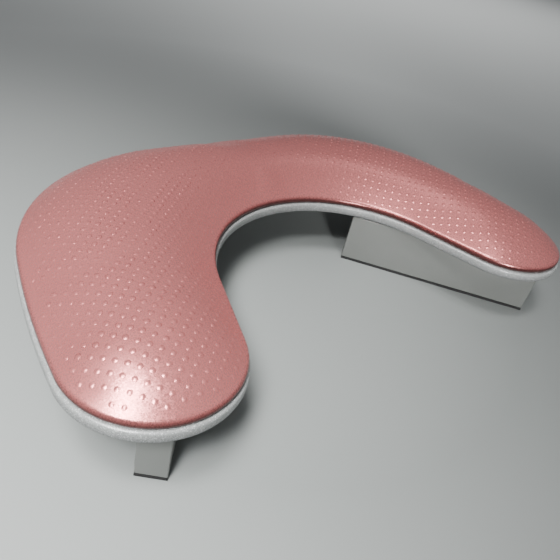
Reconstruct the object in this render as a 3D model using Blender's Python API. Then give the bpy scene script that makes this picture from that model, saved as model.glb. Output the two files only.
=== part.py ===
"""Two-armed hand rest for nail work.

A crowned leatherette cushion sits on a white boomerang-shaped board, and two slab
legs with rubber strips carry the board. Lengths are metres and +Z is up. The open
side of the boomerang faces -Y and its back faces +Y. The origin is under the middle
of the rest, at table height.
"""

import math

import bmesh
import bpy
import numpy as np

# Outline of the board, right half, from the middle of the bay round to the back
BAY_RADIUS = 0.1245
BAY_TURN = math.radians(72.0)
ARM_INNER_LENGTH = 0.067
TIP_RADIUS = 0.064
TIP_TURN = math.radians(165.5)
ARM_OUTER_RADIUS = 0.71
ARM_OUTER_TURN = math.radians(9.8)
SHOULDER_RADIUS = 0.175

# Board
BOARD_THICKNESS = 0.009
BOARD_EDGE_ROUND = 0.0022

# Cushion
CUSHION_SET_IN = 0.0016
CUSHION_CROWN = 0.0347
CUSHION_SIDE = 0.0058
CROWN_REACH = 0.057
CROWN_POWER = 1.24
CROWN_EDGE_ROUND = 0.0045
EDGE_ROLL = 0.0032
COVER_THICKNESS = 0.0011
HEM_WIDTH = 0.018
PANEL_THICKNESS = 0.006
PANEL_FOAM_WRAP = 0.004

# Legs and their rubber strips
LEG_LENGTH = 0.200
LEG_THICKNESS = 0.022
LEG_HEIGHT = 0.050
LEG_TURN = math.radians(22.0)
LEG_BEHIND_TIP = 0.043
LEG_INWARD = 0.032
LEG_EDGE_ROUND = 0.0010
STRIP_THICKNESS = 0.0025

# Wood screws
LEG_SCREW_RADIUS = 0.0020
LEG_SCREW_HEAD_RADIUS = 0.0040
LEG_SCREW_LENGTH = 0.040
LEG_SCREW_SPACING = 0.062
LEG_SCREW_HEAD_SINK = 0.0004
PANEL_SCREW_RADIUS = 0.00175
PANEL_SCREW_HEAD_RADIUS = 0.0036
PANEL_SCREW_HEAD_HEIGHT = 0.0024
PANEL_SCREW_BITE = 0.0042
PANEL_SCREW_OUTWARD = 0.024
SCREW_POINT_LENGTH = 0.004
SCREW_TIP_RADIUS = 0.0006
SCREW_TIP_LENGTH = 0.0004
PANEL_SCREW_RIM_HEIGHT = 0.0011
PANEL_SCREW_CROWN_RADIUS = 0.0027
CROSS_WIDTH = 0.0009
CROSS_DEPTH = 0.0012
CROSS_SPAN = 0.60

# Gap kept between touching pieces
SEAT_GAP = 0.0003

# Smallest squared distance to an edge that a height is worked out from
TINY_AREA = 1e-10

# Numbers of facets
BAY_STEPS = 12
BACK_STEPS = 2
ARM_STEPS = 4
TIP_STEPS = 8
ACROSS_STEPS = 9
ROUND_STEPS = 3
SCREW_SIDES = 16

# Heights that follow from the stack of pieces
LEG_BOTTOM = STRIP_THICKNESS + SEAT_GAP
LEG_TOP = LEG_BOTTOM + LEG_HEIGHT
BOARD_BOTTOM = LEG_TOP + SEAT_GAP
BOARD_TOP = BOARD_BOTTOM + BOARD_THICKNESS
COVER_BOTTOM = BOARD_TOP + SEAT_GAP
PANEL_BOTTOM = COVER_BOTTOM + COVER_THICKNESS + SEAT_GAP
PANEL_TOP = PANEL_BOTTOM + PANEL_THICKNESS


def turn_left(heading):
    """Unit vector pointing left of a heading."""
    return np.array([-math.sin(heading), math.cos(heading)])


def arc_points(start, heading, radius, turn, steps):
    """Points after the start along a tangent arc; a negative turn bends right."""
    side = math.copysign(1.0, turn)
    centre = start + radius * side * turn_left(heading)
    headings = heading + turn * np.arange(1, steps + 1) / steps
    offsets = np.stack([np.sin(headings), -np.cos(headings)], axis=1)
    return centre + radius * side * offsets, headings[-1], centre


def half_outline(offset):
    """Right half of the outline, grown outward by offset, as an inner and an outer run.

    The inner run goes from the middle of the bay to the end of the arm. The outer run
    goes from the middle of the back to the same end, with as many points.
    """
    start = np.array([0.0, -offset])
    bay, heading, _ = arc_points(start, 0.0, BAY_RADIUS - offset, -BAY_TURN, BAY_STEPS)
    direction = np.array([math.cos(heading), math.sin(heading)])
    fractions = np.arange(1, ARM_STEPS + 1)[:, None] / ARM_STEPS
    arm = bay[-1] + fractions * ARM_INNER_LENGTH * direction
    tip_radius = TIP_RADIUS + offset
    tip_in, tip_heading, tip_centre = arc_points(arm[-1], heading, tip_radius, TIP_TURN / 2, TIP_STEPS)
    tip_out, out_heading, _ = arc_points(tip_in[-1], tip_heading, tip_radius, TIP_TURN / 2, TIP_STEPS)
    side, side_heading, _ = arc_points(
        tip_out[-1], out_heading, ARM_OUTER_RADIUS + offset, ARM_OUTER_TURN, ARM_STEPS)
    shoulder_turn = math.pi - side_heading
    shoulder, _, shoulder_centre = arc_points(
        side[-1], side_heading, SHOULDER_RADIUS + offset, shoulder_turn, BAY_STEPS - BACK_STEPS)
    back_end = shoulder[-1]
    back_shares = 1.0 - np.arange(1, BACK_STEPS + 1) / BACK_STEPS
    back = np.stack([back_end[0] * back_shares, np.full(BACK_STEPS, back_end[1])], axis=1)
    inner = np.vstack([start, bay, arm, tip_in])
    outer = np.vstack([tip_in[-1], tip_out, side, shoulder, back])[::-1]
    keys = {"arm_heading": heading, "tip_centre": tip_centre, "shoulder_centre": shoulder_centre,
            "back": back_end[1]}
    return inner, outer, keys


KEYS = half_outline(0.0)[2]
ARM_FORWARD = np.array([math.cos(KEYS["arm_heading"]), math.sin(KEYS["arm_heading"])])
ARM_OUTWARD = turn_left(KEYS["arm_heading"])
BOARD_BACK = KEYS["back"]
BOARD_FRONT = KEYS["tip_centre"][1] - TIP_RADIUS
MIDDLE = np.array([0.0, (BOARD_BACK + BOARD_FRONT) / 2])


def both_halves(half):
    """Mirror a run across X = 0 and join both into one run from left to right."""
    left = half[::-1] * [-1.0, 1.0]
    return np.vstack([left[:-1], half])


def runs(offset):
    """Inner and outer edge of the whole shape, each from the left end to the right."""
    inner, outer, _ = half_outline(offset)
    return both_halves(inner) - MIDDLE, both_halves(outer) - MIDDLE


def ring(offset):
    """Closed outline, counter-clockwise: bay edge first, then the back."""
    inner, outer = runs(offset)
    return np.vstack([inner, outer[-2:0:-1]])


def distance_from_edge(points, outline):
    """Distance of inner points from a closed outline, smooth where two edges compete.

    It is sqrt(2 / sum), with sum the integral of 1 / r ** 3 along the outline, where r is
    the distance to each bit of it. Near one straight edge it is the plain distance.
    """
    step = np.roll(outline, -1, axis=0) - outline
    length = np.linalg.norm(step, axis=1)
    offset = points[:, None] - outline[None]
    along = (offset * (step / length[:, None])).sum(2)
    across_squared = np.maximum((offset ** 2).sum(2) - along ** 2, TINY_AREA)
    to_start = along / np.sqrt(across_squared + along ** 2)
    to_end = (length - along) / np.sqrt(across_squared + (length - along) ** 2)
    return np.sqrt(2.0 / ((to_start + to_end) / across_squared).sum(axis=1))


def crown_height(distance, depth):
    """Height above the cover's bottom, a given depth under the cover's outer face.

    It rises from the side by (crown - side) * (1 - (1 - distance / reach) ** power).
    """
    rest = np.clip(1.0 - distance / CROWN_REACH, 0.0, 1.0)
    rise = CUSHION_CROWN - CUSHION_SIDE
    slope = rise * CROWN_POWER / CROWN_REACH * rest ** (CROWN_POWER - 1)
    surface = CUSHION_SIDE + rise * (1.0 - rest ** CROWN_POWER)
    return surface - depth * np.sqrt(1.0 + slope ** 2)


def add_ring(bm, points, heights):
    """Add one vertex for each point of a ring."""
    heights = np.broadcast_to(heights, len(points))
    return [bm.verts.new((x, y, z)) for (x, y), z in zip(points, heights)]


def bridge(bm, lower, upper):
    """Join two rings with quads that face outward when the upper ring is above."""
    count = len(lower)
    for i in range(count):
        j = (i + 1) % count
        bm.faces.new((lower[i], lower[j], upper[j], upper[i]))


def crown_grid(bm, set_in, depth, edge):
    """Crowned sheet between the inner and the outer run, joined to the ring named edge.

    Each point is the blend inner * (1 - t) + outer * t of two paired edge points, with
    t = (1 - cos(pi * k / n)) / 2 so that the points crowd towards the edges, and
    its height is the crown's height at its distance from the cushion's outline.
    """
    inner, outer = runs(-CUSHION_SET_IN - set_in)
    last = len(inner) - 1
    cushion_edge = ring(-CUSHION_SET_IN)
    share = np.arange(1, ACROSS_STEPS) / ACROSS_STEPS
    blend = (0.5 - 0.5 * np.cos(math.pi * share))[None, :, None]
    points = inner[1:last, None] * (1 - blend) + outer[1:last, None] * blend
    distance = distance_from_edge(points.reshape(-1, 2), cushion_edge)
    heights = COVER_BOTTOM + crown_height(distance, depth)
    middle = [bm.verts.new((x, y, z)) for (x, y), z in zip(points.reshape(-1, 2), heights)]
    rows = []
    for i in range(1, last):
        start = (i - 1) * (ACROSS_STEPS - 1)
        row = [edge[i]] + middle[start:start + ACROSS_STEPS - 1] + [edge[2 * last - i]]
        rows.append(row)
    for row, following in zip(rows[:-1], rows[1:]):
        for k in range(ACROSS_STEPS):
            bm.faces.new((row[k], following[k], following[k + 1], row[k + 1]))
    for k in range(ACROSS_STEPS):
        bm.faces.new((edge[0], rows[0][k], rows[0][k + 1]))
        bm.faces.new((edge[last], rows[-1][k + 1], rows[-1][k]))


def rolled_section(depth, hem_end):
    """Side of the cushion at a depth under its face, as (set-in, height) from the hem up.

    An arc rolls it under at the bottom, and another rounds it over into the crown.
    """
    roll = EDGE_ROLL - depth
    angles = np.linspace(math.pi / 2, 0.0, ROUND_STEPS + 1)
    section = [(hem_end, depth)] if hem_end else []
    section += list(zip(EDGE_ROLL - roll * np.cos(angles), EDGE_ROLL - roll * np.sin(angles)))
    edge_slope = (CUSHION_CROWN - CUSHION_SIDE) * CROWN_POWER / CROWN_REACH
    last_angle = math.atan2(1.0, edge_slope)
    meeting = CROWN_EDGE_ROUND * (1.0 - math.cos(last_angle))
    centre = float(crown_height(meeting, 0.0)) - CROWN_EDGE_ROUND * math.sin(last_angle)
    corner = CROWN_EDGE_ROUND - depth
    angles = np.linspace(0.0, last_angle, ROUND_STEPS + 1)
    section += list(zip(CROWN_EDGE_ROUND - corner * np.cos(angles), centre + corner * np.sin(angles)))
    return section


def section_rings(bm, section):
    """One ring for each (set-in, height) of a section of the cushion."""
    return [add_ring(bm, ring(-CUSHION_SET_IN - set_in), COVER_BOTTOM + height)
            for set_in, height in section]


def material(name, color, roughness, metallic=0.0):
    """Principled material of one colour."""
    result = bpy.data.materials.new(name)
    result.use_nodes = True
    shader = result.node_tree.nodes["Principled BSDF"]
    shader.inputs["Base Color"].default_value = (*color, 1.0)
    shader.inputs["Roughness"].default_value = roughness
    shader.inputs["Metallic"].default_value = metallic
    result.diffuse_color = (*color, 1.0)
    return result


def add_object(name, mesh, parent=None, finish=None):
    """Link a mesh as a named object."""
    result = bpy.data.objects.new(name, mesh)
    bpy.context.scene.collection.objects.link(result)
    result.parent = parent
    if finish:
        mesh.materials.append(finish)
    return result


def mesh_from(bm, name, smooth=True):
    """Turn a bmesh into a mesh with outward faces, smooth below 40 degrees."""
    bmesh.ops.recalc_face_normals(bm, faces=bm.faces)
    mesh = bpy.data.meshes.new(name)
    bm.to_mesh(mesh)
    bm.free()
    if smooth:
        mesh.shade_smooth()
        mesh.set_sharp_from_angle(angle=math.radians(40))
    return mesh


def cover_mesh():
    """Leatherette skin: crowned outside, rolled edge, and a hem turned under."""
    bm = bmesh.new()
    hem_end = EDGE_ROLL + HEM_WIDTH
    outer_section = rolled_section(0.0, hem_end)
    inner_section = rolled_section(COVER_THICKNESS, hem_end)
    outside = section_rings(bm, outer_section)
    inside = section_rings(bm, inner_section)
    for lower, upper in zip(outside[:-1], outside[1:]):
        bridge(bm, lower, upper)
    for lower, upper in zip(inside[:-1], inside[1:]):
        bridge(bm, upper, lower)
    bridge(bm, inside[0], outside[0])
    crown_grid(bm, outer_section[-1][0], 0.0, outside[-1])
    crown_grid(bm, inner_section[-1][0], COVER_THICKNESS, inside[-1])
    return mesh_from(bm, "cushion_cover")


def foam_mesh():
    """Foam block under the cover, with a pocket in its underside for the panel."""
    bm = bmesh.new()
    depth = COVER_THICKNESS + SEAT_GAP
    pocket = depth + PANEL_FOAM_WRAP
    ceiling = PANEL_TOP + SEAT_GAP - COVER_BOTTOM
    section = [(pocket, ceiling), (pocket, depth)] + rolled_section(depth, None)
    rings = section_rings(bm, section)
    for lower, upper in zip(rings[:-1], rings[1:]):
        bridge(bm, lower, upper)
    bm.faces.new(rings[0][::-1])
    crown_grid(bm, section[-1][0], depth, rings[-1])
    return mesh_from(bm, "foam_core")


def slab_mesh(name, offset, bottom, thickness, edge_round):
    """Flat plate with the boomerang outline and, if wanted, rounded edges."""
    bm = bmesh.new()
    steps = ROUND_STEPS if edge_round else 0
    angles = np.linspace(math.pi / 2, 0.0, steps + 1)
    insets = edge_round * (1 - np.cos(angles))
    drops = edge_round * (1 - np.sin(angles))
    section = list(zip(insets, drops)) + list(zip(insets[::-1], thickness - drops[::-1]))
    rings = [add_ring(bm, ring(offset - inset), bottom + height) for inset, height in section]
    for lower, upper in zip(rings[:-1], rings[1:]):
        bridge(bm, lower, upper)
    bm.faces.new(rings[0][::-1])
    bm.faces.new(rings[-1])
    return mesh_from(bm, name)


def block_mesh(name, length, thickness, height, edge_round):
    """Box that stands on z = 0, its length along Y, with lightly rounded edges."""
    bm = bmesh.new()
    bmesh.ops.create_cube(bm, size=1.0)
    bmesh.ops.scale(bm, vec=(thickness, length, height), verts=bm.verts)
    bmesh.ops.translate(bm, vec=(0, 0, height / 2), verts=bm.verts)
    if edge_round:
        bmesh.ops.bevel(bm, geom=bm.edges[:], offset=edge_round, segments=2, profile=0.5, affect="EDGES")
    return mesh_from(bm, name)


def turned_mesh(name, profile, sides=SCREW_SIDES):
    """Solid turned about Z from (radius, height) points, whose first and last radius is 0."""
    bm = bmesh.new()
    steps = np.arange(sides) * 2 * math.pi / sides
    circle = np.stack([np.cos(steps), np.sin(steps)], axis=1)
    rings = [add_ring(bm, radius * circle, height) for radius, height in profile[1:-1]]
    first = bm.verts.new((0, 0, profile[0][1]))
    last = bm.verts.new((0, 0, profile[-1][1]))
    for lower, upper in zip(rings[:-1], rings[1:]):
        bridge(bm, lower, upper)
    for i in range(sides):
        j = (i + 1) % sides
        bm.faces.new((rings[0][j], rings[0][i], first))
        bm.faces.new((rings[-1][i], rings[-1][j], last))
    return mesh_from(bm, name)


def subtract(target, cutter):
    """Cut one object by another, which stays as a hidden guide."""
    cutter.hide_render = True
    cutter.display_type = "WIRE"
    cut = target.modifiers.new(cutter.name, "BOOLEAN")
    cut.operation = "DIFFERENCE"
    cut.object = cutter


def cross_mesh(name, span, width, height):
    """Upright bar with a plus-shaped section, standing on z = 0."""
    bm = bmesh.new()
    far, near = span / 2, width / 2
    corner = np.array([(far, near), (near, near), (near, far)])
    outline = []
    for quarter in range(4):
        angle = quarter * math.pi / 2
        turned = np.array([[math.cos(angle), math.sin(angle)], [-math.sin(angle), math.cos(angle)]])
        outline.extend(corner @ turned)
    outline = np.array(outline)
    lower = add_ring(bm, outline, 0.0)
    upper = add_ring(bm, outline, height)
    bridge(bm, lower, upper)
    bm.faces.new(lower[::-1])
    bm.faces.new(upper)
    return mesh_from(bm, name, smooth=False)


def with_cross_recess(mesh, head_radius, top):
    """Cut a cross recess into a screw's head and return the finished mesh."""
    blank = add_object("screw_blank", mesh)
    span = 2 * CROSS_SPAN * head_radius
    cross = add_object("cross_cutter", cross_mesh("cross", span, CROSS_WIDTH, 2 * CROSS_DEPTH))
    cross.location.z = top - CROSS_DEPTH
    subtract(blank, cross)
    depsgraph = bpy.context.evaluated_depsgraph_get()
    finished = bpy.data.meshes.new_from_object(blank.evaluated_get(depsgraph))
    for helper in (blank, cross):
        bpy.data.objects.remove(helper)
    return finished


def countersunk_screw():
    """Flat-head wood screw pointing down, its head's top at z = 0."""
    cone = LEG_SCREW_HEAD_RADIUS - LEG_SCREW_RADIUS
    profile = [
        (0, -LEG_SCREW_LENGTH),
        (SCREW_TIP_RADIUS, -LEG_SCREW_LENGTH + SCREW_TIP_LENGTH),
        (LEG_SCREW_RADIUS, -LEG_SCREW_LENGTH + SCREW_POINT_LENGTH),
        (LEG_SCREW_RADIUS, -cone),
        (LEG_SCREW_HEAD_RADIUS, 0),
        (0, 0),
    ]
    return with_cross_recess(turned_mesh("leg_screw", profile), LEG_SCREW_HEAD_RADIUS, 0.0)


PANEL_SCREW_SHANK = PANEL_BOTTOM + PANEL_SCREW_BITE - BOARD_BOTTOM + SEAT_GAP


def pan_head_screw():
    """Pan-head wood screw pointing down, the underside of its head at z = 0."""
    head = PANEL_SCREW_HEAD_HEIGHT
    profile = [
        (0, -PANEL_SCREW_SHANK),
        (PANEL_SCREW_RADIUS, -PANEL_SCREW_SHANK + SCREW_POINT_LENGTH),
        (PANEL_SCREW_RADIUS, 0),
        (PANEL_SCREW_HEAD_RADIUS, 0),
        (PANEL_SCREW_HEAD_RADIUS, PANEL_SCREW_RIM_HEIGHT),
        (PANEL_SCREW_CROWN_RADIUS, head),
        (0, head),
    ]
    return with_cross_recess(turned_mesh("panel_screw", profile), PANEL_SCREW_HEAD_RADIUS, head)


def leg_place(side):
    """Centre and direction of a leg; side is 1 for right and -1 for left."""
    centre = KEYS["tip_centre"] - LEG_BEHIND_TIP * ARM_FORWARD - LEG_INWARD * ARM_OUTWARD - MIDDLE
    heading = KEYS["arm_heading"] + LEG_TURN
    direction = np.array([math.cos(heading), math.sin(heading)])
    mirror = np.array([side, 1.0])
    return centre * mirror, direction * mirror


def leg_frame(name, side):
    """Empty at a leg's middle on the table, its Y along the leg towards the arm's end."""
    centre, direction = leg_place(side)
    empty = bpy.data.objects.new(name, None)
    bpy.context.scene.collection.objects.link(empty)
    empty.location = (*centre, 0.0)
    empty.rotation_euler.z = math.atan2(direction[1], direction[0]) - math.pi / 2
    return empty


def leg_screw_offsets():
    """Distances of a leg's three screws from its middle."""
    return [LEG_SCREW_SPACING * k for k in (-1, 0, 1)]


def panel_screw_points():
    """Where the screws under the board go: middle, both shoulders and both arms."""
    spine = (BOARD_BACK / 2 - MIDDLE[1])
    shoulder_reach = SHOULDER_RADIUS - TIP_RADIUS
    diagonal = np.array([math.sin(math.pi / 4), math.cos(math.pi / 4)])
    shoulder = KEYS["shoulder_centre"] + shoulder_reach * diagonal - MIDDLE
    arm = KEYS["tip_centre"] + PANEL_SCREW_OUTWARD * ARM_OUTWARD - MIDDLE
    points = [np.array([0.0, spine])]
    for side in (1.0, -1.0):
        points.append(shoulder * [side, 1.0])
        points.append(arm * [side, 1.0])
    return points


def add_leg(side, name, finishes, screw_mesh, board):
    """Leg, rubber strip and three screws on one side, with their holes in the board."""
    frame = leg_frame(f"{name}_frame", side)
    leg = add_object(
        f"{name}_leg",
        block_mesh(f"{name}_leg", LEG_LENGTH, LEG_THICKNESS, LEG_HEIGHT, LEG_EDGE_ROUND),
        frame, finishes["leg"])
    leg.location.z = LEG_BOTTOM
    add_object(
        f"{name}_foot_strip",
        block_mesh(f"{name}_foot_strip", LEG_LENGTH, LEG_THICKNESS, STRIP_THICKNESS, 0),
        frame, finishes["rubber"])
    head_top = BOARD_TOP - LEG_SCREW_HEAD_SINK
    cone = LEG_SCREW_HEAD_RADIUS - LEG_SCREW_RADIUS
    hole = [
        (0, -LEG_SCREW_LENGTH - SEAT_GAP),
        (LEG_SCREW_RADIUS + SEAT_GAP, -LEG_SCREW_LENGTH - SEAT_GAP),
        (LEG_SCREW_RADIUS + SEAT_GAP, -cone - SEAT_GAP),
        (LEG_SCREW_HEAD_RADIUS + SEAT_GAP, -SEAT_GAP),
        (LEG_SCREW_HEAD_RADIUS + SEAT_GAP, 2 * BOARD_EDGE_ROUND),
        (0, 2 * BOARD_EDGE_ROUND),
    ]
    hole_mesh = turned_mesh("leg_screw_hole", hole)
    for number, offset in enumerate(leg_screw_offsets(), 1):
        screw = add_object(f"{name}_leg_screw_{number}", screw_mesh, frame)
        screw.location = (0, offset, head_top)
        cutter = add_object(f"{name}_leg_hole_{number}", hole_mesh, frame)
        cutter.location = (0, offset, head_top)
        subtract(board, cutter)
        subtract(leg, cutter)


def add_panel_screws(screw_mesh, board, panel):
    """Screws from below through the board and the hem gap into the cushion's panel."""
    hole = [
        (0, -PANEL_SCREW_SHANK - SEAT_GAP),
        (PANEL_SCREW_RADIUS + SEAT_GAP, -PANEL_SCREW_SHANK - SEAT_GAP),
        (PANEL_SCREW_RADIUS + SEAT_GAP, BOARD_THICKNESS / 2),
        (0, BOARD_THICKNESS / 2),
    ]
    hole_mesh = turned_mesh("panel_screw_hole", hole)
    for number, point in enumerate(panel_screw_points(), 1):
        place = (*point, BOARD_BOTTOM - SEAT_GAP)
        screw = add_object(f"panel_screw_{number}", screw_mesh)
        cutter = add_object(f"panel_hole_{number}", hole_mesh)
        for piece in (screw, cutter):
            piece.rotation_euler.x = math.pi
            piece.location = place
        subtract(board, cutter)
        subtract(panel, cutter)


def main():
    for old in list(bpy.data.objects):
        bpy.data.objects.remove(old)
    finishes = {
        "cover": material("rose_leatherette", (0.50, 0.24, 0.23), 0.38, 0.25),
        "foam": material("foam", (0.80, 0.74, 0.52), 0.95),
        "panel": material("plywood", (0.55, 0.40, 0.24), 0.70),
        "board": material("white_sparkle_lacquer", (0.62, 0.64, 0.63), 0.45),
        "leg": material("white_satin_lacquer", (0.60, 0.61, 0.58), 0.45),
        "rubber": material("black_rubber", (0.015, 0.015, 0.015), 0.85),
        "steel": material("zinc_plated_steel", (0.60, 0.60, 0.58), 0.35, 1.0),
    }
    board = add_object(
        "base_board", slab_mesh("base_board", 0.0, BOARD_BOTTOM, BOARD_THICKNESS, BOARD_EDGE_ROUND),
        finish=finishes["board"])
    panel_inset = CUSHION_SET_IN + COVER_THICKNESS + 2 * SEAT_GAP + PANEL_FOAM_WRAP
    panel = add_object(
        "cushion_panel", slab_mesh("cushion_panel", -panel_inset, PANEL_BOTTOM, PANEL_THICKNESS, 0.0),
        finish=finishes["panel"])
    add_object("cushion_cover", cover_mesh(), finish=finishes["cover"])
    add_object("foam_core", foam_mesh(), finish=finishes["foam"])
    leg_screw = countersunk_screw()
    leg_screw.materials.append(finishes["steel"])
    panel_screw = pan_head_screw()
    panel_screw.materials.append(finishes["steel"])
    for side, name in ((1.0, "right"), (-1.0, "left")):
        add_leg(side, name, finishes, leg_screw, board)
    add_panel_screws(panel_screw, board, panel)


main()
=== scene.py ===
import math

import bpy
import numpy as np
from mathutils import Matrix, Vector


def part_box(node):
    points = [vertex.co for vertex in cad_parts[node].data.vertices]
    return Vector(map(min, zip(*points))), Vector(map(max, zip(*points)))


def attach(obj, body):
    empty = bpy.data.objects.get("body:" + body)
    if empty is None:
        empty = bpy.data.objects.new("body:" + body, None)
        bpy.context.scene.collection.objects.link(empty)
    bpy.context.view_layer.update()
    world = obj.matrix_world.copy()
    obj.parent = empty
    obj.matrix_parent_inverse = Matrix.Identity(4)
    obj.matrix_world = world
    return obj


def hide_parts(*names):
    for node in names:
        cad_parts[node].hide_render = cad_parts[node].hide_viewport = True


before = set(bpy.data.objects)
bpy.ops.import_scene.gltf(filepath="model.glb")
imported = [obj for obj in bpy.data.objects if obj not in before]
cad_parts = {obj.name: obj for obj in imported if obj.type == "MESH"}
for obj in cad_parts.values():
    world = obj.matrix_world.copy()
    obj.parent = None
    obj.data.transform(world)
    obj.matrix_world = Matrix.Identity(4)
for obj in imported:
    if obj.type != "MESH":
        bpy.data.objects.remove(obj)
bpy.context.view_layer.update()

print("frame loaded with", len(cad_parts), "nodes")


# Outline of the rest: a chain of arcs with one straight stretch, mirrored left to right
outlineShape = {
    "bayRadius": 0.1245,        # hollow side of the bend, metres
    "bayTurn": 72.0,            # degrees
    "armInnerLength": 0.067,
    "tipRadius": 0.064,
    "tipTurn": 165.5,
    "armOuterRadius": 0.71,
    "armOuterTurn": 9.8,
    "shoulderRadius": 0.175,
    "baySteps": 48,             # points on each stretch of one half
    "backSteps": 8,
    "armSteps": 16,
    "tipSteps": 32,
}


def leftOf(heading):
    return np.array([-math.sin(heading), math.cos(heading)])


# The heading h swings evenly through the turn, and each point is centre + radius * (sin h, -cos h)
def arcPoints(start, heading, radius, turn, steps):
    side = math.copysign(1.0, turn)
    centre = start + radius * side * leftOf(heading)
    headings = heading + turn * np.arange(1, steps + 1) / steps
    points = centre + radius * side * np.stack([np.sin(headings), -np.cos(headings)], axis=1)
    return points, headings[-1], centre


# Right half, grown outward: the inner run goes from the bay to the arm's end, and the outer run
# from the back to the same end with as many points, so that the two can be paired
def halfRuns(grow):
    s = outlineShape
    start = np.array([0.0, -grow])
    bay, heading, _ = arcPoints(
        start, 0.0, s["bayRadius"] - grow, -math.radians(s["bayTurn"]), s["baySteps"])
    forward = np.array([math.cos(heading), math.sin(heading)])
    shares = np.arange(1, s["armSteps"] + 1)[:, None] / s["armSteps"]
    arm = bay[-1] + shares * s["armInnerLength"] * forward
    tipRadius = s["tipRadius"] + grow
    halfTurn = math.radians(s["tipTurn"]) / 2
    tipIn, tipHeading, tipCentre = arcPoints(arm[-1], heading, tipRadius, halfTurn, s["tipSteps"])
    tipOut, outHeading, _ = arcPoints(tipIn[-1], tipHeading, tipRadius, halfTurn, s["tipSteps"])
    side, sideHeading, _ = arcPoints(
        tipOut[-1], outHeading, s["armOuterRadius"] + grow, math.radians(s["armOuterTurn"]),
        s["armSteps"])
    shoulder, _, _ = arcPoints(
        side[-1], sideHeading, s["shoulderRadius"] + grow, math.pi - sideHeading,
        s["baySteps"] - s["backSteps"])
    shares = 1.0 - np.arange(1, s["backSteps"] + 1) / s["backSteps"]
    back = np.stack([shoulder[-1, 0] * shares, np.full(s["backSteps"], shoulder[-1, 1])], axis=1)
    inner = np.vstack([start, bay, arm, tipIn])
    outer = np.vstack([tipIn[-1], tipOut, side, shoulder, back])[::-1]
    return inner, outer, {"armHeading": heading, "tipCentre": tipCentre, "back": shoulder[-1, 1]}


outlineKeys = halfRuns(0.0)[2]
frontY = outlineKeys["tipCentre"][1] - outlineShape["tipRadius"]
middle = np.array([0.0, (outlineKeys["back"] + frontY) / 2])       # the frame's origin in the outline


def bothRuns(grow):
    inner, outer, _ = halfRuns(grow)
    whole = [np.vstack([run[:0:-1] * [-1.0, 1.0], run]) - middle for run in (inner, outer)]
    return whole[0], whole[1]


# Closed outline, counter-clockwise: along the inner run, and back along the outer one
def boomerangRing(grow):
    inner, outer = bothRuns(grow)
    return np.vstack([inner, outer[-2:0:-1]])


# Distance from the edge, smooth where two edges compete: sqrt(2 / sum), with sum the integral
# of 1 / r^3 along the outline, where r is the distance to each bit of it
def edgeDistance(points, outline, tinyArea=1e-10, batch=4000):
    step = np.roll(outline, -1, axis=0) - outline
    length = np.linalg.norm(step, axis=1)
    found = []
    for first in range(0, len(points), batch):
        offset = points[first:first + batch, None] - outline[None]
        along = (offset * (step / length[:, None])).sum(2)
        across = np.maximum((offset ** 2).sum(2) - along ** 2, tinyArea)
        ends = along / np.sqrt(across + along ** 2)
        ends += (length - along) / np.sqrt(across + (length - along) ** 2)
        found.append(np.sqrt(2.0 / (ends / across).sum(axis=1)))
    return np.concatenate(found)


# 0 at start, 1 at end and s^2 * (3 - 2 * s) between them, where s is the share of the way
def eased(value, start, end):
    share = np.clip((value - start) / (end - start), 0.0, 1.0)
    return share * share * (3 - 2 * share)


# Meshes from whole arrays
sharpAngle = math.radians(40)       # edges that turn further stay sharp
tiny = 1e-9                         # keeps divisions away from zero


def makeMesh(name, vertices, faces):
    mesh = bpy.data.meshes.new(name)
    mesh.from_pydata(vertices.tolist(), [], faces)
    mesh.validate()
    mesh.shade_smooth()
    return mesh


def makeObject(name, data):
    item = bpy.data.objects.new(name, data)
    bpy.context.scene.collection.objects.link(item)
    return item


def readPoints(mesh):
    points = np.empty(len(mesh.vertices) * 3)
    mesh.vertices.foreach_get("co", points)
    return points.reshape(-1, 3)


# A number on each point, which a material can read by its name
def markPoints(mesh, name, values):
    mesh.attributes.new(name, "FLOAT", "POINT").data.foreach_set("value", values)


def applyModifiers(piece):
    depsgraph = bpy.context.evaluated_depsgraph_get()
    shaped = bpy.data.meshes.new_from_object(piece.evaluated_get(depsgraph))
    piece.modifiers.clear()
    piece.data = shaped
    return piece


# Quads between consecutive closed rings of equal length, outward where the rings climb
def ringFaces(count, rings, firstIndex=0):
    i = np.arange(count)
    j = (i + 1) % count
    low = firstIndex + count * np.arange(rings - 1)[:, None]
    return np.stack([low + i, low + j, low + count + j, low + count + i], axis=2).reshape(-1, 4)


# Sheet across a boomerang ring: point (i, k) is inner_i * (1 - t) + outer_i * t, with
# t = (1 - cos(pi * k / n)) / 2, so that rows crowd towards both edges. It returns the points
# inside the ring and the faces, which use the ring's own indices along the edges.
def sheetAcross(grow, steps, ringStart, insideStart):
    inner, outer = bothRuns(grow)
    last = len(inner) - 1
    t = (0.5 - 0.5 * np.cos(math.pi * np.arange(1, steps) / steps))[None, :, None]
    inside = inner[1:last, None] * (1 - t) + outer[1:last, None] * t
    index = np.empty((last + 1, steps + 1), int)
    index[:, 0] = ringStart + np.arange(last + 1)
    index[:, -1] = ringStart + (2 * last - np.arange(last + 1)) % (2 * last)
    index[1:last, 1:-1] = insideStart + np.arange(inside[..., 0].size).reshape(last - 1, steps - 1)
    index[0, 1:-1] = ringStart
    index[last, 1:-1] = ringStart + last
    quads = np.stack([index[1:-2, :-1], index[2:-1, :-1], index[2:-1, 1:], index[1:-2, 1:]], axis=2)
    leftEnd = np.stack([index[0, :-1], index[1, :-1], index[1, 1:]], axis=1)
    rightEnd = np.stack([index[last, :-1], index[last - 1, 1:], index[last - 1, :-1]], axis=1)
    return inside.reshape(-1, 2), quads.reshape(-1, 4), np.vstack([leftEnd, rightEnd])


def withHeight(points, height):
    return np.column_stack([points, np.broadcast_to(height, len(points))])


# Materials: small helpers, then one function for each finish

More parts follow.
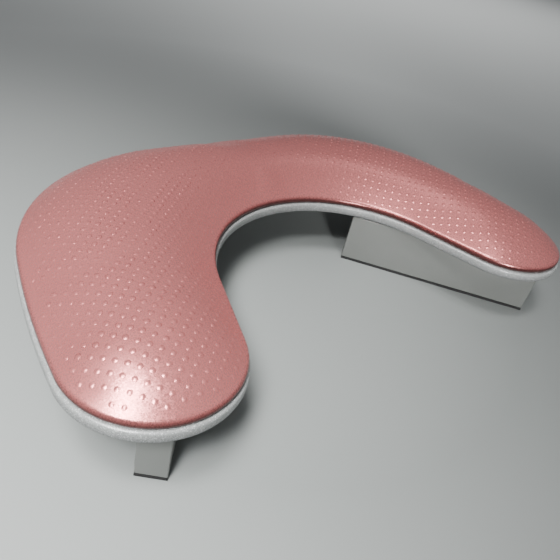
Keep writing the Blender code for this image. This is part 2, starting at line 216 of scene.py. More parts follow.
def startMaterial(name):
    finish = bpy.data.materials.new(name)
    finish.use_nodes = True
    return finish, finish.node_tree, finish.node_tree.nodes["Principled BSDF"]


def addNode(tree, kind, **settings):
    node = tree.nodes.new(kind)
    for key, value in settings.items():
        if hasattr(node, key):
            setattr(node, key, value)
        else:
            node.inputs[key.replace("_", " ")].default_value = value
    return node


# Object coordinates, stretched by a Mapping node
def placed(tree, scale=(1, 1, 1)):
    coordinates = addNode(tree, "ShaderNodeTexCoord")
    mapping = addNode(tree, "ShaderNodeMapping", Scale=scale)
    tree.links.new(coordinates.outputs["Object"], mapping.inputs["Vector"])
    return mapping.outputs["Vector"]


def noise(tree, vector, scale, detail=2.0, roughness=0.5):
    node = addNode(tree, "ShaderNodeTexNoise", Scale=scale, Detail=detail, Roughness=roughness)
    tree.links.new(vector, node.inputs["Vector"])
    return node.outputs["Fac"]


def cells(tree, vector, scale, feature="F1", output="Distance"):
    node = addNode(tree, "ShaderNodeTexVoronoi", feature=feature, Scale=scale)
    tree.links.new(vector, node.inputs["Vector"])
    return node.outputs[output]


def ramp(tree, value, stops):
    stops = list(stops)
    node = addNode(tree, "ShaderNodeValToRGB")
    elements = node.color_ramp.elements
    while len(elements) < len(stops):
        elements.new(0.5)
    for element, (position, color) in zip(elements, stops):
        element.position = position
        element.color = (*color, 1.0)
    tree.links.new(value, node.inputs["Fac"])
    return node.outputs["Color"]


def grey(level):
    return (level, level, level)


def channels(tree, color):
    node = addNode(tree, "ShaderNodeSeparateColor")
    tree.links.new(color, node.inputs["Color"])
    return node.outputs


def remap(tree, value, low, high, newLow, newHigh):
    node = addNode(tree, "ShaderNodeMapRange")
    limits = {"From Min": low, "From Max": high, "To Min": newLow, "To Max": newHigh}
    for socket, number in limits.items():
        node.inputs[socket].default_value = number
    tree.links.new(value, node.inputs["Value"])
    return node.outputs["Result"]


# The Mix node's sockets 0, 6 and 7 are the share and its two colours, and output 2 is the colour
def blended(tree, share, first, second):
    node = addNode(tree, "ShaderNodeMix", data_type="RGBA")
    tree.links.new(share, node.inputs[0])
    node.inputs[6].default_value = (*first, 1.0)
    node.inputs[7].default_value = (*second, 1.0)
    return node.outputs[2]


def multiplied(tree, first, second):
    node = addNode(tree, "ShaderNodeVectorMath", operation="MULTIPLY")
    tree.links.new(first, node.inputs[0])
    tree.links.new(second, node.inputs[1])
    return node.outputs[0]


# Painted shade: colour * (1 + a * (shade - 1)), where a is the named attribute
def shadedBy(tree, color, attribute, shade):
    share = addNode(tree, "ShaderNodeAttribute", attribute_name=attribute).outputs["Fac"]
    return multiplied(tree, color, blended(tree, share, grey(1.0), shade))


def bumped(tree, height, distance, strength, below=None):
    node = addNode(tree, "ShaderNodeBump", Strength=strength, Distance=distance)
    tree.links.new(height, node.inputs["Height"])
    if below is not None:
        tree.links.new(below, node.inputs["Normal"])
    return node.outputs["Normal"]


# Leans a normal by tilt * (flake colour - 0.5), so that each flake mirrors its own way
def leaning(tree, normal, flakes, tilt):
    centred = addNode(tree, "ShaderNodeVectorMath", operation="SUBTRACT")
    tree.links.new(flakes, centred.inputs[0])
    centred.inputs[1].default_value = grey(0.5)
    added = addNode(tree, "ShaderNodeVectorMath", operation="MULTIPLY_ADD")
    tree.links.new(centred.outputs[0], added.inputs[0])
    added.inputs[1].default_value = grey(tilt)
    tree.links.new(normal, added.inputs[2])
    unit = addNode(tree, "ShaderNodeVectorMath", operation="NORMALIZE")
    tree.links.new(added.outputs[0], unit.inputs[0])
    return unit.outputs[0]


# Sets the shader's sockets: a node's output is linked, and a plain value goes on the socket itself
def finished(material, sockets):
    finish, tree, shader = material
    for name, value in sockets.items():
        if isinstance(value, bpy.types.NodeSocket):
            tree.links.new(value, shader.inputs[name])
        else:
            shader.inputs[name].default_value = value
    return finish


leatheretteLook = {
    "rose": (0.860, 0.285, 0.274),
    "deepRose": (0.800, 0.257, 0.246),
    "toneScale": 14.0,          # slow variation, per metre
    "toneDetail": 3.0,
    "grainScale": 1150.0,       # pebbles of the grain, per metre
    "grainHeight": 0.00003,
    "grainStrength": 0.6,
    "fineScale": 2760.0,        # pores between the pebbles, per metre
    "fineHeight": 0.000015,
    "fineStrength": 0.5,
    "flakeScale": 1250.0,       # pearl flakes, per metre
    "flakeTilt": 0.065,         # how far a flake leans from the skin
    "paintedShadeAtHem": (0.13, 0.115, 0.115),   # painted shade: what is left of each colour at the hem
    "roughness": (0.23, 0.35),
    "metallic": 0.66,
    "coat": 0.06,
    "coatRoughness": 0.30,
}


def roseLeatherette():
    look = leatheretteLook
    material = startMaterial("rose_leatherette")
    tree = material[1]
    vector = placed(tree)
    tone = noise(tree, vector, look["toneScale"], look["toneDetail"])
    rose = blended(tree, tone, look["deepRose"], look["rose"])
    flakes = cells(tree, vector, look["flakeScale"], output="Color")
    grain = cells(tree, vector, look["grainScale"], feature="SMOOTH_F1")
    pores = noise(tree, vector, look["fineScale"])
    coarse = bumped(tree, grain, look["grainHeight"], look["grainStrength"])
    fine = bumped(tree, pores, look["fineHeight"], look["fineStrength"], coarse)
    return finished(material, {
        # the cover is darkened towards the hem by painted shade, where the attribute hem is 1
        "Base Color": shadedBy(tree, rose, "hem", look["paintedShadeAtHem"]),
        "Roughness": remap(tree, channels(tree, flakes)["Green"], 0.0, 1.0, *look["roughness"]),
        "Normal": leaning(tree, fine, flakes, look["flakeTilt"]),
        "Metallic": look["metallic"],
        "Coat Weight": look["coat"],
        "Coat Roughness": look["coatRoughness"],
    })


sparkleLook = {
    "white": (0.40, 0.411, 0.404),
    "greyFleck": (0.28, 0.290, 0.286),
    "brightFleck": (0.80, 0.82, 0.81),
    "whiteRange": (0.22, 0.80),     # cell values between which a fleck is plain white
    "brightFrom": 0.97,
    "fleckScale": 1900.0,       # flecks per metre
    "paintedShadeAtRim": (0.36, 0.36, 0.37),     # painted shade: what is left of each colour at the lower rim
    "roughness": (0.22, 0.52),
    "metallic": 0.15,
    "grainScale": 1140.0,
    "grainHeight": 0.00006,
    "grainStrength": 0.6,
}


def sparkleLacquer():
    look = sparkleLook
    material = startMaterial("white_sparkle_lacquer")
    tree = material[1]
    vector = placed(tree)
    flecks = channels(tree, cells(tree, vector, look["fleckScale"], output="Color"))
    dull, bright = look["whiteRange"]
    color = ramp(tree, flecks["Red"], [
        (0.0, look["greyFleck"]), (dull, look["white"]), (bright, look["white"]),
        (look["brightFrom"], look["brightFleck"])])
    grain = noise(tree, vector, look["grainScale"])
    return finished(material, {
        # painted shade darkens the board's edge towards the bottom
        "Base Color": shadedBy(tree, color, "rim", look["paintedShadeAtRim"]),
        "Roughness": remap(tree, flecks["Green"], 0.0, 1.0, *look["roughness"]),
        "Normal": bumped(tree, grain, look["grainHeight"], look["grainStrength"]),
        "Metallic": look["metallic"],
    })


legLook = {
    "white": (0.190, 0.198, 0.186),
    "shade": (0.168, 0.175, 0.165),
    "rollerScale": 60.0,        # faint roller texture, per metre
    "rollerDetail": 4.0,
    "roughness": (0.30, 0.42),
    "peelScale": 540.0,         # orange peel of the lacquer, per metre
    "peelHeight": 0.00006,
    "peelStrength": 0.5,
    "coat": 0.15,
    "coatRoughness": 0.15,
}
midTones = (0.3, 0.7)           # the values that most of a noise lies between


def satinLacquer():
    look = legLook
    material = startMaterial("white_satin_lacquer")
    tree = material[1]
    vector = placed(tree)
    tone = noise(tree, vector, look["rollerScale"], look["rollerDetail"])
    peel = noise(tree, vector, look["peelScale"])
    return finished(material, {
        "Base Color": blended(tree, tone, look["shade"], look["white"]),
        "Roughness": remap(tree, tone, *midTones, *look["roughness"]),
        "Normal": bumped(tree, peel, look["peelHeight"], look["peelStrength"]),
        "Coat Weight": look["coat"],
        "Coat Roughness": look["coatRoughness"],
    })


rubberLook = {
    "tones": (grey(0.010), grey(0.022)),
    "toneScale": 700.0,
    "poreScale": 1600.0,        # per metre
    "poreHeight": 0.0001,
    "poreStrength": 0.6,
    "roughness": 0.82,
}


def blackRubber():
    look = rubberLook
    material = startMaterial("black_rubber")
    tree = material[1]
    vector = placed(tree)
    pores = cells(tree, vector, look["poreScale"])
    return finished(material, {
        "Base Color": ramp(tree, noise(tree, vector, look["toneScale"]), zip(midTones, look["tones"])),
        "Normal": bumped(tree, pores, look["poreHeight"], look["poreStrength"]),
        "Roughness": look["roughness"],
    })


steelLook = {
    "tones": ((0.55, 0.55, 0.52), (0.72, 0.71, 0.66)),
    "toneScale": 900.0,         # crystals of the zinc, per metre
    "toneDetail": 3.0,
    "roughness": (0.24, 0.40),
}


def zincSteel():
    look = steelLook
    material = startMaterial("zinc_plated_steel")
    tree = material[1]
    tone = noise(tree, placed(tree), look["toneScale"], look["toneDetail"])
    return finished(material, {
        "Base Color": ramp(tree, tone, zip(midTones, look["tones"])),
        "Roughness": remap(tree, tone, *midTones, *look["roughness"]),
        "Metallic": 1.0,
    })


foamLook = {
    "tones": ((0.55, 0.47, 0.28), (0.82, 0.75, 0.52)),
    "poreScale": 900.0,         # per metre
    "poreWall": 0.6,            # cell distance at which a pore meets its wall; nearer its middle the pore is darker, painted shade
    "poreHeight": 0.0004,
    "poreStrength": 0.8,
    "roughness": 0.95,
}


def openFoam():
    look = foamLook
    material = startMaterial("open_foam")
    tree = material[1]
    pores = cells(tree, placed(tree), look["poreScale"])
    return finished(material, {
        # painted shade: each pore is darker towards its deepest middle
        "Base Color": ramp(tree, pores, zip((0.0, look["poreWall"]), look["tones"])),
        "Normal": bumped(tree, pores, look["poreHeight"], look["poreStrength"]),
        "Roughness": look["roughness"],
    })


plywoodLook = {
    "tones": ((0.42, 0.29, 0.16), (0.66, 0.51, 0.32)),
    "stretch": (9.0, 90.0, 90.0),       # the figure runs along X
    "figureScale": 2.0,
    "figureDetail": 6.0,
    "figureRoughness": 0.65,
    "figureHeight": 0.0002,
    "figureStrength": 0.4,
    "roughness": 0.68,
}


def birchPlywood():
    look = plywoodLook
    material = startMaterial("birch_plywood")
    tree = material[1]
    figure = noise(
        tree, placed(tree, look["stretch"]), look["figureScale"], look["figureDetail"],
        look["figureRoughness"])
    return finished(material, {
        "Base Color": ramp(tree, figure, zip(midTones, look["tones"])),
        "Normal": bumped(tree, figure, look["figureHeight"], look["figureStrength"]),
        "Roughness": look["roughness"],
    })


finishes = {
    "cover": roseLeatherette(),
    "board": sparkleLacquer(),
    "leg": satinLacquer(),
    "rubber": blackRubber(),
    "steel": zincSteel(),
    "foam": openFoam(),
    "plywood": birchPlywood(),
}
print("finishes made:", ", ".join(finishes))


def dress(piece, slotName, *nodes):
    piece.data.materials.clear()
    piece.data.materials.append(finishes[slotName])
    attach(piece, "root")
    if nodes:
        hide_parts(*nodes)


# Cushion: a foam-filled skin, crowned, rounded over at the side and rolled under to a hem
cushionShape = {
    "setIn": 0.0016,            # from the board's edge
    "crown": 0.0347,            # height that the crown climbs towards
    "side": 0.0058,             # height where the crown starts
    "reach": 0.057,             # distance from the edge at which it is flat
    "power": 1.24,
    "cornerRadius": 0.0045,
    "rollRadius": 0.0032,
    "hemWidth": 0.018,
    "thickness": 0.0011,
    "hemFoot": 0.0034,          # heights between which the painted shade at the hem fades out
    "hemTop": 0.0078,
    "arcSteps": 8,
    "acrossSteps": 36,
}
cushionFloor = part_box("cushion_cover")[0].z
cushionEdge = boomerangRing(-cushionShape["setIn"])


# Height over the cushion's floor: side + (crown - side) * (1 - (1 - distance / reach)^power)
def crownHeight(distance):
    s = cushionShape
    rest = np.clip(1.0 - distance / s["reach"], 0.0, 1.0)
    return s["side"] + (s["crown"] - s["side"]) * (1.0 - rest ** s["power"])


# Section of the side from the hem up, as set-in and height: a quarter arc rolls it under, and
# a second arc turns from upright to the slope at which the crown starts
def sideSection():
    s = cushionShape
    under = np.linspace(math.pi / 2, 0.0, s["arcSteps"] + 1)
    slope = (s["crown"] - s["side"]) * s["power"] / s["reach"]
    lastAngle = math.atan2(1.0, slope)
    over = np.linspace(0.0, lastAngle, s["arcSteps"] + 1)
    crownStart = crownHeight(s["cornerRadius"] * (1 - math.cos(lastAngle)))
    centre = crownStart - s["cornerRadius"] * math.sin(lastAngle)
    setIn = np.concatenate([
        [s["rollRadius"] + s["hemWidth"]],
        s["rollRadius"] * (1 - np.cos(under)),
        s["cornerRadius"] * (1 - np.cos(over))])
    height = np.concatenate([
        [0.0],
        s["rollRadius"] * (1 - np.sin(under)),
        centre + s["cornerRadius"] * np.sin(over)])
    return setIn, height


# Rings up the side and the crown's sheet, and an underside where the form is to be closed
def cushionForm(closed=False):
    setIn, height = sideSection()
    rings = [withHeight(boomerangRing(-cushionShape["setIn"] - inset), cushionFloor + rise)
             for inset, rise in zip(setIn, height)]
    count = len(rings[0])
    inside, quads, ends = sheetAcross(
        -cushionShape["setIn"] - setIn[-1], cushionShape["acrossSteps"],
        count * (len(rings) - 1), count * len(rings))
    crown = withHeight(inside, cushionFloor + crownHeight(edgeDistance(inside, cushionEdge)))
    vertices = np.vstack(rings + [crown])
    faces = ringFaces(count, len(rings)).tolist() + quads.tolist() + ends.tolist()
    if closed:
        inside, quads, ends = sheetAcross(
            -cushionShape["setIn"] - setIn[0], cushionShape["acrossSteps"], 0, len(vertices))
        vertices = np.vstack([vertices, withHeight(inside, cushionFloor)])
        faces += quads[:, ::-1].tolist() + ends[:, ::-1].tolist()
    return vertices, faces


# The cushion swells by cloth simulation: a coarse closed copy, a little flatter than the cushion,
# is blown up with its underside pinned, and its rise is carried to the fine skin and its dots
swellShape = {
    "voxel": 0.0055,
    "crownShare": 0.95,         # height of the copy's crown before it swells
    "pressure": 30.0,
    "pointMass": 0.006,         # kilograms
    "slack": 0.011,             # share by which the cover is larger than the copy
    "frames": 20,
    "cap": 0.0034,              # no point moves further
    "pinnedBelow": 0.0040,      # heights over the cushion's floor
    "fadeFrom": 0.0065,
    "fadeTo": 0.0150,
    "cell": 0.003,              # grid that carries the rise
    "blur": 0.006,
    "insideGrid": 0.001,        # cells by which a point stays inside the grid's last row
    "lowest": -0.0002,          # the skin never sinks further under its drawn crown
}


# Height that the copy lacks before it swells
def startingDip(height):
    return (1.0 - swellShape["crownShare"]) * np.maximum(height - cushionShape["side"], 0.0)


def blownCopy():
    s = swellShape
    vertices, faces = cushionForm(closed=True)
    vertices[:, 2] -= startingDip(vertices[:, 2] - cushionFloor)
    copy = makeObject("swelling", makeMesh("swelling", vertices, faces))
    remesh = copy.modifiers.new("remesh", "REMESH")
    remesh.mode = "VOXEL"
    remesh.voxel_size = s["voxel"]
    applyModifiers(copy)
    rest = readPoints(copy.data)
    held = copy.vertex_groups.new(name="held")
    held.add(np.flatnonzero(rest[:, 2] < cushionFloor + s["pinnedBelow"]).tolist(), 1.0, "REPLACE")
    cloth = copy.modifiers.new("cloth", "CLOTH")
    cloth.settings.vertex_group_mass = "held"
    cloth.settings.mass = s["pointMass"]
    cloth.settings.shrink_min = -s["slack"]
    cloth.settings.use_pressure = True
    cloth.settings.uniform_pressure_force = s["pressure"]
    cloth.settings.effector_weights.gravity = 0.0
    cloth.point_cache.frame_end = s["frames"]
    scene = bpy.context.scene
    for frameNumber in range(1, s["frames"] + 1):
        scene.frame_set(frameNumber)
    applyModifiers(copy)
    blown = readPoints(copy.data)
    bpy.data.objects.remove(copy)
    scene.frame_set(1)
    move = blown - rest
    length = np.linalg.norm(move, axis=1)
    move *= np.minimum(1.0, s["cap"] / np.maximum(length, tiny))[:, None]
    print("cloth: %d points, moved %.2f mm on average" % (len(rest), 1000 * length.mean()))
    return rest, move


# Grid of the crown's rise: each cell is the mean of the points' rises, weighted by
# exp(-distance^2 / (2 * blur^2))
def swellField():
    s = swellShape
    rest, move = blownCopy()
    top = rest[:, 2] > cushionFloor + s["fadeFrom"]
    low = rest[:, :2].min(axis=0)
    counts = np.ceil((rest[:, :2].max(axis=0) - low) / s["cell"]).astype(int) + 1
    edges = [low[k] + s["cell"] * np.arange(counts[k] + 1) for k in (0, 1)]
    x, y = rest[top, 0], rest[top, 1]
    weight = np.histogram2d(x, y, bins=edges)[0]
    total = np.histogram2d(x, y, bins=edges, weights=move[top, 2])[0]
    blurs = []
    for count in counts:
        step = s["cell"] * (np.arange(count)[:, None] - np.arange(count))
        blurs.append(np.exp(-step ** 2 / (2 * s["blur"] ** 2)))
    rise = (blurs[0] @ total @ blurs[1]) / np.maximum(blurs[0] @ weight @ blurs[1], tiny)
    return low + s["cell"] / 2, rise


# Moves points up by the field's rise, read between cells, less the starting dip
def swell(points, field):
    s = swellShape
    corner, rise = field
    place = (points[:, :2] - corner) / s["cell"]
    place = np.clip(place, 0.0, np.array(rise.shape) - 1 - s["insideGrid"])
    i, j = place.astype(int).T
    u, v = (place - np.floor(place)).T
    found = (rise[i, j] * (1 - u) * (1 - v) + rise[i + 1, j] * u * (1 - v)
             + rise[i, j + 1] * (1 - u) * v + rise[i + 1, j + 1] * u * v)
    height = points[:, 2] - cushionFloor
    net = np.maximum(found - startingDip(height), s["lowest"])
    net *= eased(height, s["fadeFrom"], s["fadeTo"])
    print("swell: net %.2f to %.2f mm" % (1000 * net.min(), 1000 * net.max()))
    points[:, 2] += net


def cushionSkin():
    skin = makeObject("cushion", makeMesh("cushion", *cushionForm()))
    wall = skin.modifiers.new("wall", "SOLIDIFY")
    wall.thickness = cushionShape["thickness"]
    wall.offset = -1.0
    wall.use_even_offset = True
    return applyModifiers(skin)


# Raised dots of the leatherette, on a square lattice that stands on its corner
dotShape = {
    "pitch": 0.0075,
    "turn": -47.0,              # degrees from +X to the lattice's first direction
    "anchor": (-0.2486, -0.1052),
    "radius": 0.0022,
    "height": 0.00042,
    "sunk": 0.00007,            # the rim's depth under the skin
    "edgeClear": 0.0055,        # no dot nearer to the edge than this
    "calm": (0.0, 0.070),       # round this point of the bend the dots are faint
    "calmRadius": 0.045,
    "fullRadius": 0.135,        # from here on they have their whole height
    "faint": 0.40,              # share of the height that a faint dot keeps
    "span": 90,                 # lattice steps each way from the anchor, past every edge
    "nudge": 0.0005,            # step at which the skin's slope is read
    "ringShares": (0.42, 0.75, 1.0),
    "sides": 9,
}


# Centres are anchor + i * first + j * second, kept where they lie far enough inside the edge
def dotCentres():
    s = dotShape
    angle = math.radians(s["turn"])
    first = s["pitch"] * np.array([math.cos(angle), math.sin(angle)])
    second = s["pitch"] * np.array([math.sin(angle), -math.cos(angle)])
    span = np.arange(-s["span"], s["span"] + 1)
    i, j = [side.ravel() for side in np.meshgrid(span, span, indexing="ij")]
    points = np.array(s["anchor"]) + i[:, None] * first + j[:, None] * second
    low, high = cushionEdge.min(axis=0), cushionEdge.max(axis=0)
    points = points[((points > low) & (points < high)).all(axis=1)]
    points = points[insideRing(points, cushionEdge)]
    return points[edgeDistance(points, cushionEdge) > s["edgeClear"]]


# A point is inside when a ray towards +X crosses the outline an odd number of times
def insideRing(points, outline):
    x, y = points[:, 0, None], points[:, 1, None]
    ax, ay = outline.T
    bx, by = np.roll(outline, -1, axis=0).T
    spans = (ay > y) != (by > y)
    crossing = ax + (y - ay) * (bx - ax) / np.where(by == ay, 1.0, by - ay)
    return (spans & (x < crossing)).sum(axis=1) % 2 == 1


# Each dot rises over the skin's tangent plane by height * (1 - (r / radius)^2)^2, so that its
# rim runs out flat into the skin. Its points are the peak, three rings and a root below them.
def coverDots():
    s = dotShape
    centres = dotCentres()
    nudge = s["nudge"]
    moved = [centres, centres + [nudge, 0.0], centres + [0.0, nudge]]
    level, levelX, levelY = [crownHeight(edgeDistance(at, cushionEdge)) for at in moved]
    slopeX, slopeY = (levelX - level) / nudge, (levelY - level) / nudge
    length = np.sqrt(1.0 + slopeX ** 2 + slopeY ** 2)
    normal = np.stack([-slopeX, -slopeY, np.ones(len(level))], axis=1) / length[:, None]
    alongX = np.stack([np.ones(len(level)), np.zeros(len(level)), slopeX], axis=1)
    alongX /= np.linalg.norm(alongX, axis=1)[:, None]
    alongY = np.cross(normal, alongX)
    base = withHeight(centres, 0.0)
    base[:, 2] = cushionFloor + level
    angles = np.arange(s["sides"]) * 2 * math.pi / s["sides"]
    shares = np.array(s["ringShares"])
    away = np.linalg.norm(centres - np.array(s["calm"]), axis=1)
    grown = eased(away, s["calmRadius"], s["fullRadius"])
    full = s["height"] * (s["faint"] + (1.0 - s["faint"]) * grown)
    rise = full[:, None] * (1 - shares ** 2) ** 2 - s["sunk"]
    across = s["radius"] * shares[:, None] * np.cos(angles)
    aside = s["radius"] * shares[:, None] * np.sin(angles)
    rings = (base[:, None, None] + alongX[:, None, None] * across[..., None]
             + alongY[:, None, None] * aside[..., None] + normal[:, None, None] * rise[..., None, None])
    peak = base + normal * (full - s["sunk"])[:, None]
    root = base - normal * (2 * s["sunk"])
    vertices = np.concatenate([peak[:, None], rings.reshape(len(base), -1, 3), root[:, None]], axis=1)
    i = np.arange(s["sides"])
    j = (i + 1) % s["sides"]
    sides, last = s["sides"], s["sides"] * len(shares)
    top = np.stack([np.zeros(sides, int), 1 + i, 1 + j], axis=1)
    under = np.stack([np.full(sides, last + 1), last - sides + 1 + j, last - sides + 1 + i], axis=1)
    bands = [np.stack([1 + b * sides + i, 1 + (b + 1) * sides + i, 1 + (b + 1) * sides + j,
                       1 + b * sides + j], axis=1) for b in range(len(shares) - 1)]
    perDot = vertices.shape[1]
    starts = perDot * np.arange(len(base))[:, None, None]
    triangles = (starts + np.vstack([top, under])).reshape(-1, 3)
    quads = (starts + np.vstack(bands)).reshape(-1, 4)
    print("dots on the cover:", len(base))
    return vertices.reshape(-1, 3), triangles, quads


def makeCushion():
    skin = cushionSkin()
    vertices = readPoints(skin.data)
    faces = [list(face.vertices) for face in skin.data.polygons]
    dots, triangles, quads = coverDots()
    shift = len(vertices)       # the dots' points follow the skin's
    faces += (triangles + shift).tolist() + (quads + shift).tolist()
    points = np.vstack([vertices, dots])
    # painted shade at the hem: 1 up to hemFoot, 0 from hemTop
    hem = eased(points[:, 2] - cushionFloor, cushionShape["hemTop"], cushionShape["hemFoot"])
    swell(points, swellField())
    skin.data = makeMesh("cushion", points, faces)
    markPoints(skin.data, "hem", hem)
    dress(skin, "cover", "cushion_cover")
    return skin


cushion = makeCushion()
print("cushion made,", len(cushion.data.polygons), "faces")


# Holes for the screws, one cutter for all the holes of a kind
holeShape = {
    "legShank": 0.0023,         # radii
    "legHead": 0.0043,
    "panelShank": 0.00205,
    "seatGap": 0.0003,          # play round a screw and under it
    "beyond": 0.0044,           # a cutter's reach past the face that it enters
    "sides": 24,
}


# Turned solids: each profile point (radius, height) becomes a ring round each centre
def turnedCutter(name, centres, profile):
    sides = holeShape["sides"]
    angles = np.arange(sides) * 2 * math.pi / sides
    circle = np.stack([np.cos(angles), np.sin(angles)], axis=1)
    vertices, faces = [], []
    for centre in centres:
        start = len(vertices) * sides
        for radius, height in profile:
            vertices.append(withHeight(centre + radius * circle, height))
        last = start + (len(profile) - 1) * sides
        faces += ringFaces(sides, len(profile), start).tolist()
        faces += [list(range(start, start + sides))[::-1], list(range(last, last + sides))]
    return makeObject(name, makeMesh(name, np.vstack(vertices), faces))


def screwBoxes(part):
    return [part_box(name) for name in sorted(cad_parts) if part in name]


def middleOf(box):
    low, high = box
    return np.array([(low.x + high.x) / 2, (low.y + high.y) / 2])


# A leg screw's hole: narrow for the shank, a cone under the head, then wide past the board's top
def legScrewCutter(part):
    s = holeShape
    boxes = screwBoxes(part)
    low, high = boxes[0]
    cone = s["legHead"] - s["legShank"]
    return turnedCutter("leg_holes", [middleOf(box) for box in boxes], [
        (s["legShank"], low.z - s["seatGap"]),
        (s["legShank"], high.z - s["seatGap"] - cone),
        (s["legHead"], high.z - s["seatGap"]),
        (s["legHead"], high.z + s["beyond"])])


def panelScrewCutter():
    s = holeShape
    centres = [middleOf(box) for box in screwBoxes("panel_screw")]
    return turnedCutter("panel_holes", centres, [
        (s["panelShank"], boardLow.z - s["beyond"]), (s["panelShank"], boardHigh.z + s["beyond"])])


# Cuts each cutter out of a piece, then shades it smooth up to the sharp edges
def drilled(piece, *cutters):
    for cutter in cutters:
        cut = piece.modifiers.new(cutter.name, "BOOLEAN")
        cut.operation = "DIFFERENCE"
        cut.object = cutter
    applyModifiers(piece)
    for cutter in cutters:
        bpy.data.objects.remove(cutter)
    piece.data.shade_smooth()
    piece.data.set_sharp_from_angle(angle=sharpAngle)


# Board: a flat plate of the same outline with rounded edges and holes for its screws
boardShape = {
    "edgeRound": 0.0022,
    "arcSteps": 6,
    "acrossSteps": 6,
}
boardLow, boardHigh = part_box("base_board")


# Inset and height of a rounded edge: a quarter arc below and a quarter arc above
def roundedEdge(radius, steps, bottom, top):
    angles = np.linspace(0.0, math.pi / 2, steps + 1)
    inset = radius * (1 - np.sin(angles))
    drop = radius * (1 - np.cos(angles))
    return np.concatenate([inset, inset[::-1]]), np.concatenate([bottom + drop, top - drop[::-1]])


def makeBoard():
    s = boardShape
    insets, heights = roundedEdge(s["edgeRound"], s["arcSteps"], boardLow.z, boardHigh.z)
    rings = [withHeight(boomerangRing(-inset), height) for inset, height in zip(insets, heights)]
    count, total = len(rings[0]), len(rings) * len(rings[0])
    top, quads, ends = sheetAcross(-insets[-1], s["acrossSteps"], total - count, total)
    faces = ringFaces(count, len(rings)).tolist() + quads.tolist() + ends.tolist()
    under, quads, ends = sheetAcross(-insets[0], s["acrossSteps"], 0, total + len(top))
    faces += quads[:, ::-1].tolist() + ends[:, ::-1].tolist()
    vertices = np.vstack(rings + [withHeight(top, boardHigh.z), withHeight(under, boardLow.z)])
    board = makeObject("base_board_smooth", makeMesh("base_board_smooth", vertices, faces))
    drilled(board, legScrewCutter("leg_screw"), panelScrewCutter())
    depth = (boardHigh.z - readPoints(board.data)[:, 2]) / (boardHigh.z - boardLow.z)
    markPoints(board.data, "rim", np.clip(depth, 0.0, 1.0))     # 0 at the top, 1 at the bottom, where the painted shade is deepest
    dress(board, "board", "base_board")


makeBoard()
print("board made")


# Legs: upright slabs with softly rounded edges, each on a rubber strip
legShape = {
    "length": 0.200,
    "thickness": 0.022,
    "turn": 22.0,               # degrees from the arm's own direction
    "edgeRound": 0.0010,
    "stripRound": 0.0004,
    "leastCorner": 0.00002,     # what is left of a corner's radius at the deepest inset
    "arcSteps": 4,
}


# Closed outline of a rectangle with round corners, counter-clockwise, shrunk by an inset
def rectangleRing(radius, inset):
    s = legShape
    corner = max(radius - inset, s["leastCorner"])
    half = np.array([s["length"], s["thickness"]]) / 2 - inset - corner
    signs = np.array([(1, 1), (-1, 1), (-1, -1), (1, -1)])
    quarter = np.linspace(0.0, math.pi / 2, s["arcSteps"] + 1)
    angles = quarter + (np.arange(4) * math.pi / 2)[:, None]
    arcs = corner * np.stack([np.cos(angles), np.sin(angles)], axis=2)
    return ((signs * half)[:, None] + arcs).reshape(-1, 2)


# A slab is a stack of rectangle rings turned by its heading, with a face over each end
def makeSlab(name, node, heading, radius, slotName):
    low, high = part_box(node)
    insets, heights = roundedEdge(radius, legShape["arcSteps"], low.z, high.z)
    turn = np.array([[math.cos(heading), math.sin(heading)], [-math.sin(heading), math.cos(heading)]])
    centre = middleOf((low, high))
    rings = [withHeight(rectangleRing(radius, inset) @ turn + centre, height)
             for inset, height in zip(insets, heights)]
    count = len(rings[0])
    faces = ringFaces(count, len(rings)).tolist()
    faces.append(list(range(count))[::-1])
    faces.append(list(range(count * (len(rings) - 1), count * len(rings))))
    slab = makeObject(name, makeMesh(name, np.vstack(rings), faces))
    cutters = [legScrewCutter(f"{node}_screw")] if slotName == "leg" else []
    drilled(slab, *cutters)
    dress(slab, slotName, node)


def makeLegs():
    heading = outlineKeys["armHeading"] + math.radians(legShape["turn"])
    for side, turned in (("right", heading), ("left", math.pi - heading)):
        makeSlab(f"{side}_leg_slab", f"{side}_leg", turned, legShape["edgeRound"], "leg")
        makeSlab(f"{side}_strip", f"{side}_foot_strip", turned, legShape["stripRound"], "rubber")


makeLegs()
print("legs and strips made")


# CAD nodes that stay get their finish by the first of these words in their name
innerFinishes = {"screw": "steel", "foam": "foam", "panel": "plywood"}
for name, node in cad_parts.items():
    for word, slotName in innerFinishes.items():
        if word in name:
            node.data.materials.clear()
            node.data.materials.append(finishes[slotName])
            break
print("screws, foam and panel finished")


# Floor, light and camera
studio = {
    "floorSize": 30.0,
    "floorRoughness": 0.55,
    "floorColor": (0.33, 0.35, 0.34),
    "farFloorColor": (0.74, 0.76, 0.75),
    "floorFade": (0.24, 0.80),  # distances from the rest between which the floor grows paler: painted light that makes up for the lamps' falloff
    "worldColor": (0.80, 0.83, 0.85),
    "worldStrength": 0.22,
    "lamps": {                  # place, aim, size, spread in degrees and watts of each
        "soft_top": ((-0.84, -0.10, 1.50), (-0.40, 0.02, 0.09), 0.80, 30.0, 2.5),
        "lamp_tip": ((-1.00, -0.50, 1.12), (-0.33, -0.12, 0.09), 0.50, 22.0, 1.3),
        "lamp_arm": ((-0.05, -0.24, 1.17), (0.20, -0.03, 0.09), 0.14, 22.0, 0.065),
        "lamp_front": ((-0.55, -1.35, 0.45), (0.22, -0.02, 0.07), 0.30, 16.0, 0.36),
        "lamp_back": ((1.75, 1.75, 2.20), (1.75, 1.75, 0.0), 2.50, 66.0, 15.0),
    },
}


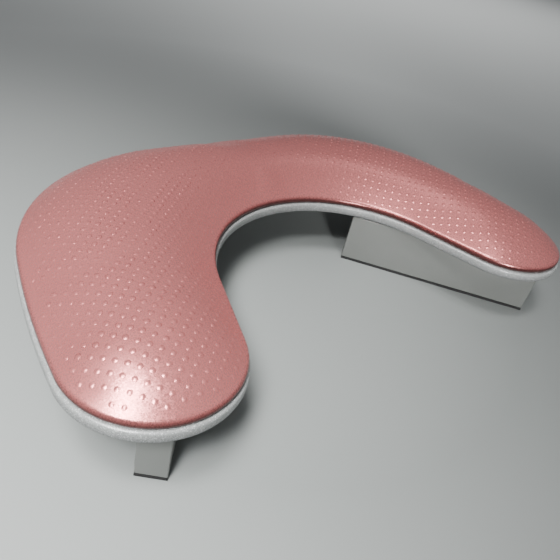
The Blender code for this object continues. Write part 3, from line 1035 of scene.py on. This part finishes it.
def makeFloor():
    corners = np.array([(-1, -1, 0), (1, -1, 0), (1, 1, 0), (-1, 1, 0)]) * studio["floorSize"] / 2
    floor = makeObject("floor", makeMesh("floor", corners, [[0, 1, 2, 3]]))
    material = startMaterial("pale_floor")
    tree = material[1]
    away = addNode(tree, "ShaderNodeVectorMath", operation="LENGTH")
    tree.links.new(placed(tree), away.inputs[0])
    # painted light: the floor is paler away from the rest, where less lamp light falls
    share = remap(tree, away.outputs["Value"], *studio["floorFade"], 0.0, 1.0)
    floor.data.materials.append(finished(material, {
        "Base Color": blended(tree, share, studio["floorColor"], studio["farFloorColor"]),
        "Roughness": studio["floorRoughness"],
    }))


def makeLight():
    for name, (place, aim, size, spread, watts) in studio["lamps"].items():
        lamp = bpy.data.lights.new(name, "AREA")
        lamp.size = size
        lamp.spread = math.radians(spread)
        lamp.energy = watts
        holder = makeObject(name, lamp)
        holder.location = place
        holder.rotation_euler = (Vector(aim) - Vector(place)).to_track_quat("-Z", "Y").to_euler()
    world = bpy.data.worlds.new("studio")
    world.use_nodes = True
    sky = world.node_tree.nodes["Background"]
    sky.inputs["Color"].default_value = (*studio["worldColor"], 1.0)
    sky.inputs["Strength"].default_value = studio["worldStrength"]
    bpy.context.scene.world = world


cameraView = {
    "place": (-0.3430, -0.3316, 0.3291),
    "heading": 45.70,           # degrees clockwise from +Y
    "pitch": 35.02,             # degrees down
    "roll": 14.14,              # degrees
    "lens": 37.0,               # millimetres
    "sensor": 36.0,
}


# Level axes first: forward = (sin h cos p, cos h cos p, -sin p) and right = (cos h, -sin h, 0);
# then both side axes turn about forward by the roll
def makeCamera():
    h, p, roll = [math.radians(cameraView[key]) for key in ("heading", "pitch", "roll")]
    forward = Vector((math.sin(h) * math.cos(p), math.cos(h) * math.cos(p), -math.sin(p)))
    right = Vector((math.cos(h), -math.sin(h), 0.0))
    up = right.cross(forward)
    turnedRight = math.cos(roll) * right + math.sin(roll) * up
    turnedUp = math.cos(roll) * up - math.sin(roll) * right
    lens = bpy.data.cameras.new("photo_view")
    lens.sensor_width = cameraView["sensor"]
    lens.lens = cameraView["lens"]
    camera = makeObject("photo_view", lens)
    axes = Matrix((turnedRight, turnedUp, -forward)).transposed().to_4x4()
    camera.matrix_world = Matrix.Translation(cameraView["place"]) @ axes
    bpy.context.scene.camera = camera


makeFloor()
makeLight()
makeCamera()
print("studio ready")
